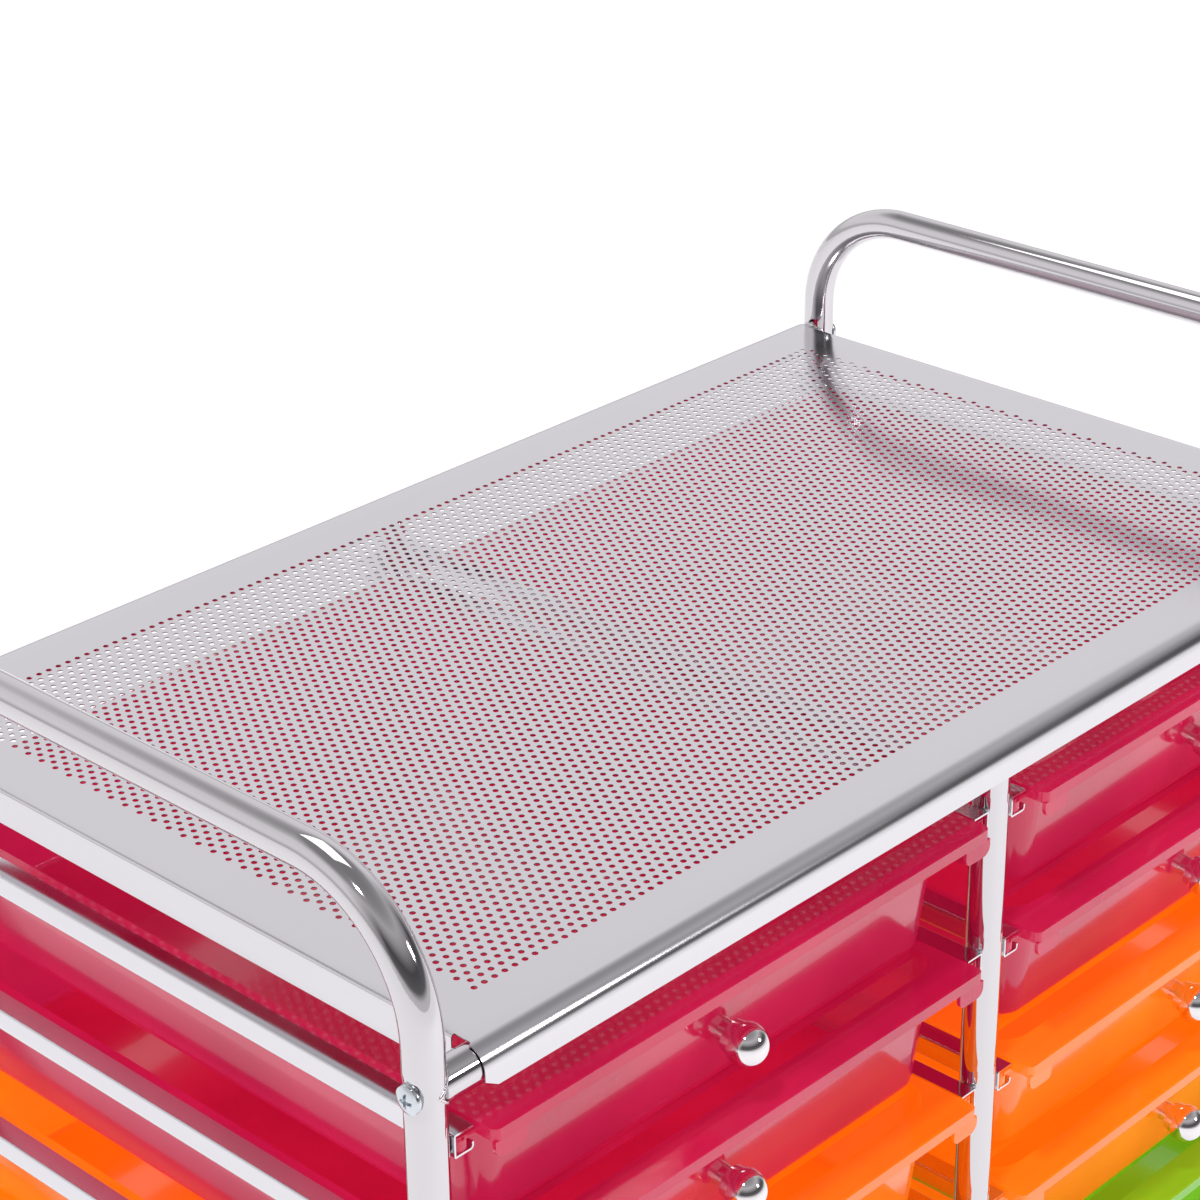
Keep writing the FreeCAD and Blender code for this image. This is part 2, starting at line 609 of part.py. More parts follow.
def knob():
    """A knob on the y axis, seated at y = 0 and facing -y: a stem, a collar and a dome."""
    body = new_body("knob")
    parts = (("stem", "0", "knob_stem_length", "knob_stem"),
             ("collar", "knob_stem_length", "knob_dome_start", "knob_collar"),
             ("dome", "knob_dome_start", "knob_length", "knob_diameter"))
    for label, start, end, diameter in parts:
        section = new_sketch(body, "XZ_Plane", f"knob_{label}_section", start)
        draw_polygon(section, KNOB_SIDES, diameter)
        form = extrude(body, "Pad", section, f"knob_{label}", f"{end} - {start}")
    tip = edges_at(form.Shape, 1, -number("knob_length"))
    face = bevel(body, form, tip, "knob_face", "knob_face_length", "knob_face_width")
    brow = edges_at(face.Shape, 1, -number("knob_length - knob_face_length"))
    bevel(body, face, brow, "knob_brow", "knob_brow_length", "knob_brow_width")
    return body


def make_trays():
    knob_master = knob()
    masters = {"small": (tray("small_tray", "small_tray_depth"), "small_knob_drop"),
               "large": (tray("large_tray", "large_tray_depth"), "large_knob_drop")}
    small, large = round(number("small_rows")), round(number("large_rows"))
    for row in range(small + large):
        size = "small" if row < small else "large"
        master, knob_drop = masters[size]
        fall = (f"{row} * small_pitch" if row < small
                else f"small_rows * small_pitch + {row - small} * large_pitch")
        top = f"(panel_height - first_rail_drop - ({fall}))"
        for word, side in SIDES.items():
            name = f"{word}_drawer_{row + 1:02d}"
            x = f"{side} * {COLUMN_X}"
            keep(copy_of(master, name, x, z=top), name)
            lean = f"({knob_drop} + {RIM_TOP}) * tan(draft * 1 deg)"
            knob_name = f"{word}_knob_{row + 1:02d}"
            piece = copy_of(knob_master, knob_name, x, f"{BODY_FRONT} + {lean}",
                            f"{top} - {knob_drop}")
            piece.Placement.Rotation = FreeCAD.Rotation(FreeCAD.Vector(1, 0, 0), 1)
            bind(piece, "Placement.Rotation.Angle", "draft * 1 deg")
            keep(piece, knob_name)


# Casters
def fork():
    """A pressed fork with its axle, swivel cup and stem, the swivel axis at x = y = 0."""
    body = new_body("fork")
    side_view = new_sketch(body, "YZ_Plane", "fork_side_view")
    low = f"({AXLE_Z} - arm_end_radius)"
    front_arm = "(caster_trail - arm_end_radius)"
    back_arm = "(caster_trail + arm_end_radius)"
    shoulder = "(crown_height - 3 * arm_sheet)"
    outline = [("-crown_front", "crown_height"), ("-crown_front", shoulder),
               (front_arm, AXLE_Z), (front_arm, low, "0.6 * arm_end_radius"),
               (back_arm, low, "0.6 * arm_end_radius"), (back_arm, AXLE_Z),
               ("crown_back + arm_end_radius", shoulder),
               ("crown_back + arm_end_radius", "crown_height")]
    draw(side_view, faceted(outline, SMALL_CORNER_SIDES))
    extrude(body, "Pad", side_view, "fork_block", f"2 * {FORK_HALF}", symmetric=True)
    slot = new_sketch(body, "XZ_Plane", "fork_slot_outline")
    slot_half = f"({FORK_HALF} - arm_sheet)"
    draw(slot, box_corners(f"-{slot_half}", slot_half, "0", "crown_height - arm_sheet"))
    extrude(body, "Pocket", slot, "fork_slot", symmetric=True)
    cup = new_sketch(body, "XY_Plane", "fork_cup_outline", "crown_height")
    draw_polygon(cup, TUBE_SIDES, "swivel_diameter")
    extrude(body, "Pad", cup, "fork_cup", f"{SOCKET_FACE_Z} - swivel_gap - crown_height")
    stem = new_sketch(body, "XY_Plane", "fork_stem_outline", "crown_height")
    draw_polygon(stem, STEM_SIDES, "stem_diameter")
    extrude(body, "Pad", stem, "fork_stem", "leg_end_height + stem_reach - crown_height")
    axle = new_sketch(body, "YZ_Plane", "fork_axle_section")
    draw_polygon(axle, STEM_SIDES, "axle_diameter", "caster_trail", AXLE_Z)
    extrude(body, "Pad", axle, "fork_axle", f"2 * {FORK_HALF} - arm_sheet", symmetric=True)
    for side in SIDES.values():
        head = new_sketch(body, "YZ_Plane", f"fork_axle_head_{side + 2}", f"{side} * {FORK_HALF}")
        draw_polygon(head, AXLE_HEAD_SIDES, "axle_head_width", "caster_trail", AXLE_Z)
        extrude(body, "Pad", head, f"fork_axle_end_{side + 2}", "axle_head_height",
                reverse=side == LEFT)
    return body


def wheel():
    """A wheel about the x axis, with a bevel round each side of its tread."""
    body = new_body("wheel")
    side_view = new_sketch(body, "YZ_Plane", "wheel_outline")
    draw_polygon(side_view, WHEEL_SIDES, f"wheel_diameter / cos({180 / WHEEL_SIDES} deg)")
    form = extrude(body, "Pad", side_view, "wheel_form", "wheel_width", symmetric=True)
    for side in SIDES.values():
        rim = edges_at(form.Shape, 0, side * number("wheel_width / 2"))
        form = bevel(body, form, rim, f"wheel_tread_edge_{side + 2}", "tread_edge")
    bore = new_sketch(body, "YZ_Plane", "wheel_bore_outline")
    draw_circle(bore, "0", "0", "axle_diameter + 2 * axle_gap")
    extrude(body, "Pocket", bore, "wheel_bore", symmetric=True)
    return body


def socket():
    """A sleeve pressed into the end of a leg, with a collar below it, round the caster's stem."""
    body = new_body("socket")
    bore = f"(stem_diameter + 2 * stem_gap) / cos({180 / STEM_SIDES} deg)"
    for label, diameter, length in (("sleeve", f"({TUBE_BORE} - 2 * socket_gap)", "socket_length"),
                                    ("collar", "tube_diameter", "socket_collar")):
        ring = new_sketch(body, "XY_Plane", f"socket_{label}_ring", "leg_end_height")
        draw_polygon(ring, TUBE_SIDES, diameter)
        draw_polygon(ring, STEM_SIDES, bore)
        extrude(body, "Pad", ring, f"socket_{label}", length, reverse=label == "collar")
    return body


def make_casters():
    """All four casters point forwards at the rear and backwards at the front, as parked."""
    fork_master, wheel_master, socket_master = fork(), wheel(), socket()
    sockets = []
    for end_word, end in ENDS.items():
        for word, side in SIDES.items():
            corner = f"{end_word}_{word}_caster"
            x, y = f"{side} * {LEG_X}", f"{end} * {LEG_Y}"
            yoke = copy_of(fork_master, f"{corner}_fork", x, y)
            if end_word == "rear":
                yoke.Placement.Rotation = FreeCAD.Rotation(FreeCAD.Vector(0, 0, 1), 180)
            keep(yoke, f"{corner}_fork")
            axle_y = f"{end} * ({LEG_Y} - caster_trail)"
            tyre = copy_of(wheel_master, f"{corner}_wheel", x, axle_y, AXLE_Z)
            keep(tyre, f"{corner}_wheel")
            sockets.append(copy_of(socket_master, f"{corner}_socket", x, y))
    keep(group("socket_set", sockets), "caster_sockets")


def check_model():
    """Stop before writing anything if a feature failed or a sub-part isn't a valid solid."""
    faults = [f"{item.Name}: {item.State}" for item in doc.Objects
              if "Invalid" in item.State or "Error" in item.State]
    for name, item in nodes.items():
        shape = item.Shape
        if shape.isNull() or not shape.isValid() or not shape.Solids:
            faults.append(f"{name}: no valid solid")
    if faults:
        raise RuntimeError("\n".join(faults))


make_frame()
make_panel()
make_rails()
make_trays()
make_casters()
doc.recompute()
check_model()
os.makedirs("parts", exist_ok=True)
for node_name, node_item in nodes.items():
    node_item.Shape.exportStep(f"parts/{node_name}.step")
print(len(nodes), "sub-parts written")
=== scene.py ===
import math

import bmesh
import bpy
import numpy as np
from mathutils import Matrix, Vector


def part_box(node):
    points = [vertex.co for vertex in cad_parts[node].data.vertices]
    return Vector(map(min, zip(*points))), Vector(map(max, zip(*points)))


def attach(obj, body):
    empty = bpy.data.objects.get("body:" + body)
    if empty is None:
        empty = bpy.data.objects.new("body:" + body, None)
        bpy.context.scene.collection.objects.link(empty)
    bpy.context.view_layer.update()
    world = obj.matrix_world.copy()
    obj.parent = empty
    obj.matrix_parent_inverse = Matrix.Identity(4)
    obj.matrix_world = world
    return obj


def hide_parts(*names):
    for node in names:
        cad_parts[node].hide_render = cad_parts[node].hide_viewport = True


# The looks of the rolling storage cart. Lengths are millimetres in the model's own frame, and
# every mesh is scaled to metres as it is made.
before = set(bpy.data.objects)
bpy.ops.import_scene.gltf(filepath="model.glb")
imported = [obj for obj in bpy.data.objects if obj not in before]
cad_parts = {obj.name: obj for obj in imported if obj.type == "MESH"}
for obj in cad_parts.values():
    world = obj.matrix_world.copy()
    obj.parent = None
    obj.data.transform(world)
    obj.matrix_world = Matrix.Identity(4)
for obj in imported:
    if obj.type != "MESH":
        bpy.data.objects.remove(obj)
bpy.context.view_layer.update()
MM = 0.001


def node_box(node):
    """A node's lowest and highest corners in millimetres."""
    return [Vector(corner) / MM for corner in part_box(node)]


# Places that the frame gives
ROWS = 10
SMALL_ROWS = 6
TUBE_RADIUS = 7.5
BASE_TUBE_Z = 79.0
FRAME_LOW, FRAME_HIGH = node_box("right_side_frame")
LEG_X = FRAME_HIGH.x - TUBE_RADIUS
LEG_Y = FRAME_HIGH.y - TUBE_RADIUS
LEG_END_Z = FRAME_LOW.z
HANDLE_Z = FRAME_HIGH.z - TUBE_RADIUS
PANEL_LOW, PANEL_HIGH = node_box("top_panel")
PANEL_X = (PANEL_LOW.x + PANEL_HIGH.x) / 2
PANEL_Z = PANEL_HIGH.z
ROLL_RADIUS = PANEL_HIGH.y - LEG_Y
TOP_TUBE_Z = PANEL_Z - ROLL_RADIUS
RAILS_HIGH = node_box("left_outer_rails")[1]
RAIL_HALF_LENGTH = RAILS_HIGH.y
RAIL_FACE_X = LEG_X - TUBE_RADIUS
LIP_TOPS = [node_box(f"left_drawer_{row + 1:02d}")[1].z for row in range(ROWS)]
RAIL_TOPS = [lip_top - (LIP_TOPS[0] - RAILS_HIGH.z) for lip_top in LIP_TOPS]

# Sizes that only the looks need. Frame tubes:
HANDLE_BEND = 53.0
DENT_REACH = 9.0
DENT_DEPTH = 1.9
WELD_BEAD = 1.1
# Top panel:
PANEL_SHEET = 0.4
SIDE_FOLD_RADIUS = 1.6
SIDE_FOLD_HALF = 164.3
SIDE_FOLD_CUT = 2.0
SKIRT_BEVEL = (6.0, 3.5)
SAG = 3.5
SAG_REACH = (290.0, 172.0)
HOLE_DIAMETER = 2.5
HOLE_PITCH = 4.925
HOLE_ROW_PITCH = HOLE_PITCH * math.sqrt(3) / 2
HOLE_COLUMNS = 108
HOLE_ROWS = 71
HOLE_SIDES = 12
# Rails:
RAIL_SHEET = 0.8
RAIL_DEPTH = 9.5
RAIL_FLANGE = 9.0
RAIL_BEND = 0.9
RAIL_HOOK_BEND = 1.5
RAIL_HOOK_TOP = 2.9
# Trays, with heights from the top of their rails:
TRAY_WALL = 1.8
TRAY_CORNER = 18.0
TRAY_EDGE = 5.0
TRAY_DRAFT = math.radians(7.0)
RIM_TOP = -2.6
RIM_CORNER = 2.5
RIM_INSET = 0.5
REAR_LEDGE = 6.0
RUNNER_WIDTH = 6.4
RUNNER_DROP = 6.0
RUNNER_SUNK = 0.2
RUNNER_TO_RAIL = 0.5
WALL_TO_RAIL = 4.5
LIP_TO_RAIL = 1.5
LIP_RISE = 0.5
LIP_DEPTH = 15.0
LIP_PLATE = 3.3
LIP_CORNER = 3.0
LIP_INNER_CORNER = 1.4
SQUARE_CORNER = 0.2
SKIRT_HEIGHT = 4.9
TAB_HEIGHT = 11.5
TAB_WIDTH = 15.0
TAB_CORNERS = (4.0, 3.0)
TAB_OVERLAP = 0.3
TAB_INSET = 0.05
# Knobs and wheels:
KNOB_BALL = 8.7
KNOB_BALL_CENTRE = 11.7
KNOB_DROPS = {"small": 34.0, "large": 42.0}
WHEEL_HALF_WIDTH = 9.0
WHEEL_RADIUS = 25.0
# Finishes:
SHARP = 40     # degrees between faces that meet in an edge
PAINTED_GLOW = 0.22    # painted glow: emission in the plastic's own colour, standing in for the light that the cloudy plastic would pass on from all sides


# Mesh tools
def shade(mesh, sharp):
    """Smooth shading, broken where faces meet at more than an angle in degrees."""
    mesh.shade_smooth()
    mesh.set_sharp_from_angle(angle=math.radians(sharp))


def new_mesh(name, points, faces, material, sharp=SHARP, outwards=False):
    """A shaded mesh of points in millimetres, with its faces turned outwards if asked."""
    mesh = bpy.data.meshes.new(name)
    mesh.from_pydata((np.asarray(points, float) * MM).tolist(), [], faces)
    mesh.validate()
    if outwards:
        work = bmesh.new()
        work.from_mesh(mesh)
        bmesh.ops.recalc_face_normals(work, faces=work.faces)
        work.to_mesh(mesh)
        work.free()
    shade(mesh, sharp)
    mesh.materials.append(material)
    return mesh


def add_object(name, data):
    """An object of the scene that holds a mesh, a light or a camera."""
    item = bpy.data.objects.new(name, data)
    bpy.context.scene.collection.objects.link(item)
    return item


def make_object(name, shape, body, material, sharp=SHARP, outwards=False):
    """An object of (points, faces) that rides on a body."""
    item = add_object(name, new_mesh(name, *shape, material, sharp, outwards))
    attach(item, body)
    return item


def join(parts):
    """Several (points, faces) as one."""
    points, faces, start = [], [], 0
    for some, around in parts:
        points.extend(tuple(p) for p in some)
        faces.extend([index + start for index in face] for face in around)
        start += len(some)
    return points, faces


def bridge(rings, loop=False):
    """Rings of equal length joined by quads: a closed loop of rings, or capped at both ends."""
    count = len(rings[0])
    points = [tuple(p) for ring in rings for p in ring]
    faces = []
    for i in range(len(rings) if loop else len(rings) - 1):
        a, b = i * count, (i + 1) % len(rings) * count
        for k in range(count):
            n = (k + 1) % count
            faces.append([a + k, a + n, b + n, b + k])
    if not loop:
        faces.append(list(range(count))[::-1])
        faces.append([(len(rings) - 1) * count + k for k in range(count)])
    return points, faces


def grid_faces(wide, tall, flip=False):
    """Quads over a grid of points, row by row, turned over if asked."""
    faces = []
    for j in range(tall - 1):
        for i in range(wide - 1):
            a = j * wide + i
            quad = [a, a + 1, a + 1 + wide, a + wide]
            faces.append(quad[::-1] if flip else quad)
    return faces


def sweep(path, segments=32):
    """A frame tube along a path."""
    path = np.asarray(path, float)
    rings = []
    side = None
    for i, point in enumerate(path):
        along = path[min(i + 1, len(path) - 1)] - path[max(i - 1, 0)]
        along /= np.linalg.norm(along)
        if side is None:
            side = np.cross(along, (0.0, 0.0, 1.0) if abs(along[2]) < 0.9 else (1.0, 0.0, 0.0))
        side = side - along * (side @ along)
        side /= np.linalg.norm(side)
        up = np.cross(along, side)
        turn = np.linspace(0, 2 * math.pi, segments, endpoint=False)
        around = np.outer(np.cos(turn), side) + np.outer(np.sin(turn), up)
        rings.append(point + TUBE_RADIUS * around)
    return bridge(rings)


def lathe(profile, segments):
    """A profile of (reach, radius) turned about the x axis."""
    turn = np.linspace(0, 2 * math.pi, segments, endpoint=False)
    rings = [np.column_stack([np.full(segments, reach), radius * np.cos(turn),
                              radius * np.sin(turn)]) for reach, radius in profile]
    return bridge(rings)


def arc(centre, radius, start, end, steps):
    """Points on an arc in the plane, angles in degrees."""
    turn = np.radians(np.linspace(start, end, steps + 1))
    return [(centre[0] + radius * math.cos(t), centre[1] + radius * math.sin(t)) for t in turn]


def rounded_box(x0, x1, y0, y1, radii):
    """The outline of a box with a radius at each corner, anticlockwise from low x, low y."""
    a, b, c, d = radii if isinstance(radii, tuple) else (radii,) * 4
    steps = 8
    outline = arc((x0 + a, y0 + a), a, 180, 270, steps)
    outline += arc((x1 - b, y0 + b), b, 270, 360, steps)
    outline += arc((x1 - c, y1 - c), c, 0, 90, steps)
    outline += arc((x0 + d, y1 - d), d, 90, 180, steps)
    return outline


def at_height(outline, z):
    """A flat outline as a ring at a height."""
    return [(x, y, z) for x, y in outline]


def moved(shape, x, y, z):
    """A shape shifted by x, y and z."""
    points, faces = shape
    return [(p[0] + x, p[1] + y, p[2] + z) for p in points], faces


def settle(item):
    """Keep what an object's modifiers make as its own mesh, with the sharp edges marked."""
    graph = bpy.context.evaluated_depsgraph_get()
    mesh = bpy.data.meshes.new_from_object(item.evaluated_get(graph))
    item.modifiers.clear()
    item.data = mesh
    shade(mesh, SHARP)


def soften(item, width):
    """Round an object's sharp edges by a fixed width in millimetres."""
    modifier = item.modifiers.new("edges", "BEVEL")
    modifier.width = width * MM
    modifier.segments = 2
    modifier.limit_method = "ANGLE"
    modifier.angle_limit = math.radians(SHARP)
    modifier.harden_normals = True


# Materials
def new_material(name):
    """A material with its nodes, links and shader."""
    material = bpy.data.materials.new(name)
    material.use_nodes = True
    nodes = material.node_tree.nodes
    return material, nodes, material.node_tree.links, nodes["Principled BSDF"]


def noise_between(nodes, links, low, high, scale, detail):
    """A value that wanders between low and high over the surface."""
    place = nodes.new("ShaderNodeTexCoord")
    noise = nodes.new("ShaderNodeTexNoise")
    noise.inputs["Scale"].default_value = scale
    noise.inputs["Detail"].default_value = detail
    span = nodes.new("ShaderNodeMapRange")
    span.inputs["From Min"].default_value = 0.3
    span.inputs["From Max"].default_value = 0.7
    span.inputs["To Min"].default_value = low
    span.inputs["To Max"].default_value = high
    links.new(place.outputs["Object"], noise.inputs["Vector"])
    links.new(noise.outputs["Fac"], span.inputs["Value"])
    return noise, span


def bump(nodes, links, shader, source, strength, distance):
    """A surface made uneven by a value, over a distance in millimetres."""
    node = nodes.new("ShaderNodeBump")
    node.inputs["Strength"].default_value = strength
    node.inputs["Distance"].default_value = distance * MM
    links.new(source, node.inputs["Height"])
    links.new(node.outputs["Normal"], shader.inputs["Normal"])


def metal(name, colour, rough_low, rough_high, ripple=0.03, scale=60.0):
    """Plated steel: mirror-like, with faint smears and a little waviness under the plating."""
    material, nodes, links, shader = new_material(name)
    shader.inputs["Base Color"].default_value = (*colour, 1)
    shader.inputs["Metallic"].default_value = 1.0
    _, smear = noise_between(nodes, links, rough_low, rough_high, scale * 0.5, 6.0)
    links.new(smear.outputs["Result"], shader.inputs["Roughness"])
    wave, _ = noise_between(nodes, links, 0, 1, scale, 2.0)
    bump(nodes, links, shader, wave.outputs["Fac"], ripple, 0.5)
    return material


def plastic(name, colour, deep):
    """Glossy see-through moulding, a little cloudy, with its colour deeper in random patches."""
    material, nodes, links, shader = new_material(name)
    _, spread = noise_between(nodes, links, 0.0, 1.0, 14.0, 4.0)
    mix = nodes.new("ShaderNodeMix")
    mix.data_type = "RGBA"
    mix.inputs["A"].default_value = (*colour, 1)
    mix.inputs["B"].default_value = (*deep, 1)
    links.new(spread.outputs["Result"], mix.inputs["Factor"])
    links.new(mix.outputs["Result"], shader.inputs["Base Color"])
    # painted glow: the tray's colour also shines as emission, standing in for light passing
    # through the cloudy plastic
    links.new(mix.outputs["Result"], shader.inputs["Emission Color"])
    shader.inputs["Emission Strength"].default_value = PAINTED_GLOW
    shader.inputs["Roughness"].default_value = 0.16
    shader.inputs["IOR"].default_value = 1.49
    shader.inputs["Transmission Weight"].default_value = 0.5
    shader.inputs["Coat Weight"].default_value = 0.5
    shader.inputs["Coat Roughness"].default_value = 0.04
    grain, _ = noise_between(nodes, links, 0, 1, 90.0, 2.0)
    bump(nodes, links, shader, grain.outputs["Fac"], 0.04, 0.3)
    return material


def rubbery(name, colour, roughness):
    """Dull moulded plastic with a fine grain."""
    material, nodes, links, shader = new_material(name)
    shader.inputs["Base Color"].default_value = (*colour, 1)
    _, spread = noise_between(nodes, links, roughness - 0.08, roughness + 0.1, 220.0, 4.0)
    links.new(spread.outputs["Result"], shader.inputs["Roughness"])
    grain, _ = noise_between(nodes, links, 0, 1, 900.0, 2.0)
    bump(nodes, links, shader, grain.outputs["Fac"], 0.15, 0.1)
    return material


CHROME = metal("chrome_tube", (0.68, 0.66, 0.68), 0.035, 0.085)
PANEL_STEEL = metal("chrome_sheet", (0.72, 0.705, 0.735), 0.12, 0.17, 0.05, 25.0)
HOLE_EDGE = metal("punched_edge", (0.34, 0.30, 0.33), 0.35, 0.5)
RAIL_STEEL = metal("chrome_rail", (0.74, 0.73, 0.76), 0.09, 0.16)
KNOB_CHROME = metal("chrome_knob", (0.84, 0.81, 0.82), 0.02, 0.05, 0.002)
SCREW_STEEL = metal("zinc_screw", (0.66, 0.70, 0.74), 0.18, 0.3)
FORK_STEEL = metal("zinc_fork", (0.62, 0.62, 0.64), 0.2, 0.34)
WELD_STEEL = metal("weld_bead", (0.78, 0.76, 0.77), 0.1, 0.3, 0.5, 900.0)
WHEEL_BLACK = rubbery("wheel_plastic", (0.025, 0.025, 0.028), 0.42)
SOCKET_BLACK = rubbery("socket_plastic", (0.03, 0.03, 0.03), 0.5)
PLASTICS = {
    "red_plastic": plastic("red_plastic", (0.68, 0.020, 0.11), (0.56, 0.010, 0.08)),
    "orange_plastic": plastic("orange_plastic", (1.0, 0.31, 0.010), (0.95, 0.25, 0.006)),
    "green_plastic": plastic("green_plastic", (0.27, 0.62, 0.02), (0.2, 0.5, 0.012)),
    "blue_plastic": plastic("blue_plastic", (0.012, 0.20, 0.62), (0.008, 0.14, 0.5)),
    "purple_plastic": plastic("purple_plastic", (0.16, 0.03, 0.42), (0.11, 0.02, 0.33)),
}
ROW_SLOTS = [slot for slot in PLASTICS for _ in range(2)]


# Frame tubes
def handle_route(x):
    """The centre line of a side frame, close-set where a screw dents it."""
    bend_z = HANDLE_Z - HANDLE_BEND
    bend_y = LEG_Y - HANDLE_BEND
    dent = [TOP_TUBE_Z + step for step in range(-12, 13)]
    rise = [LEG_END_Z, BASE_TUBE_Z + 40, TOP_TUBE_Z - 20, *dent]
    half = [(-LEG_Y, z) for z in rise]
    half += arc((-bend_y, bend_z), HANDLE_BEND, 180, 90, 20)
    other = [(-y, z) for y, z in reversed(half)]
    return [(x, y, z) for y, z in half + other]


def side_frame(word, side):
    """A bent tube with a dent round each screw, and the rung between its legs."""
    points, faces = sweep(handle_route(side * LEG_X), 40)
    points = np.array(points)
    for end in (-1, 1):
        off_y = points[:, 1] - end * LEG_Y
        off_z = points[:, 2] - TOP_TUBE_Z
        outward = side * (points[:, 0] - side * LEG_X)
        near = np.clip(1 - np.hypot(off_y, off_z) / DENT_REACH, 0, 1)
        dent = np.where(outward > 0, DENT_DEPTH * near ** 1.1, 0)
        points[:, 0] -= side * dent
    rung = sweep([(side * LEG_X, y, BASE_TUBE_Z) for y in (-LEG_Y, 0, LEG_Y)])
    item = make_object(f"{word}_bent_tube", join([(points, faces), rung]), "frame", CHROME, 60)
    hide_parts(f"{word}_side_frame")


def straight_tubes():
    """The tubes across the cart and the two centre posts."""
    reach = LEG_X - 4
    runs = {"front_top_tube": [(-LEG_Y, TOP_TUBE_Z)], "rear_top_tube": [(LEG_Y, TOP_TUBE_Z)],
            "bottom_tubes": [(-LEG_Y, BASE_TUBE_Z), (LEG_Y, BASE_TUBE_Z)]}
    for node, places in runs.items():
        shape = join([sweep([(x, y, z) for x in (-reach, 0, reach)], 40) for y, z in places])
        item = make_object(f"{node}_round", shape, "frame", CHROME, 60)
        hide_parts(node)
    posts = join([sweep([(0, y, z) for z in (BASE_TUBE_Z, 500, TOP_TUBE_Z)], 40)
                  for y in (-LEG_Y, LEG_Y)])
    item = make_object("centre_posts_round", posts, "frame", CHROME, 60)
    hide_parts("centre_posts")


def weld_ring(centre, way):
    """A lumpy bead where a cross tube meets a leg; way is 1 or -1, along x to the cross tube."""
    rings = []
    count, sides = 72, 10
    for k in range(count):
        turn = 2 * math.pi * k / count
        across, rise = TUBE_RADIUS * math.cos(turn), TUBE_RADIUS * math.sin(turn)
        out = math.sqrt(max(TUBE_RADIUS ** 2 - across ** 2, 0))
        lump = WELD_BEAD * (0.85 + 0.2 * math.sin(11 * turn) + 0.1 * math.sin(23 * turn + 1))
        spot = Vector((way * out, across, rise))
        outward = Vector((0, math.cos(turn), math.sin(turn)))
        along = Vector((way, 0, 0))
        ring = []
        for j in range(sides):
            a = 2 * math.pi * j / sides
            ring.append(spot + lump * (math.cos(a) * outward * 0.55 + math.sin(a) * along))
        rings.append([tuple(Vector(centre) + p) for p in ring])
    return bridge(rings, loop=True)


def welds():
    """A bead at each end of the four tubes across the cart."""
    beads = [weld_ring((side * LEG_X, y, z), -side)
             for side in (-1, 1) for y in (-LEG_Y, LEG_Y) for z in (TOP_TUBE_Z, BASE_TUBE_Z)]
    item = make_object("tube_welds", join(beads), "frame", WELD_STEEL, 80)


def frame_screw(side, end):
    """A pan-head screw with a cross recess, set in the dent of a leg."""
    head, height, sunk = 5.5, 3.0, 1.3
    recess, recess_depth, arm_half = 3.1, 1.5, 0.62
    rings = [(0.0, head * 0.96), (0.5, head), (1.0, head)]
    rings += [(height - 1.3 * (r / head) ** 2.4, r) for r in np.linspace(head * 0.96, 0.15, 26)]
    points, faces = lathe(rings, 64)
    shaped = []
    for reach, across, rise in points:
        away = math.hypot(across, rise)
        arm = min(abs(across), abs(rise))
        if reach > 1.0 and away < recess and arm < arm_half:
            reach -= recess_depth * (1 - (away / recess) ** 3)
        shaped.append((side * reach, across, rise))
    if side < 0:
        faces = [face[::-1] for face in faces]
    seat = side * (LEG_X + TUBE_RADIUS - sunk)
    return moved((shaped, faces), seat, end * LEG_Y, TOP_TUBE_Z)


def screws():
    """One screw at the top of each leg."""
    shape = join([frame_screw(side, end) for side in (-1, 1) for end in (-1, 1)])
    item = make_object("frame_screws", shape, "frame", SCREW_STEEL)


# Top panel
def sag(x, y):
    """How far the thin top dips between its stiff edges."""
    return SAG * (1 - ((x - PANEL_X) / SAG_REACH[0]) ** 2) * (1 - (y / SAG_REACH[1]) ** 2)


def perforated_field():
    """Cells of staggered holes, and each row's y, left end and right end.

    A cell's outline has middle points on its long sides, because every second row is shifted by
    half a cell and shares them with the corners of its neighbours.
    """
    turn = np.radians(np.arange(HOLE_SIDES) * 360 / HOLE_SIDES + 210)
    hole = np.column_stack([np.cos(turn), np.sin(turn)]) * HOLE_DIAMETER / 2
    w, h = HOLE_PITCH / 2, HOLE_ROW_PITCH / 2
    border = np.array([(-w, -h), (0, -h), (w, -h), (w, h), (0, h), (-w, h)])
    points, faces, shared, rows = [], [], {}, []
    for row in range(HOLE_ROWS):
        y = (row - (HOLE_ROWS - 1) / 2) * HOLE_ROW_PITCH
        shift = 0.5 * (row % 2)
        first = PANEL_X + (shift - (HOLE_COLUMNS - 0.5) / 2) * HOLE_PITCH
        rows.append((y, first - w, first - w + HOLE_COLUMNS * HOLE_PITCH))
        for column in range(HOLE_COLUMNS):
            spot = np.array([first + column * HOLE_PITCH, y])
            start = len(points)
            points.extend(map(tuple, hole + spot))
            ring = []
            for corner in border + spot:
                key = (round(corner[0] * 100), round(corner[1] * 100))
                if key not in shared:
                    shared[key] = len(points)
                    points.append(tuple(corner))
                ring.append(shared[key])
            for k in range(6):
                a, b = 2 * k, (2 * k + 2) % HOLE_SIDES
                faces.append([ring[k], ring[(k + 1) % 6], start + b, start + 2 * k + 1, start + a])
    return points, faces, rows


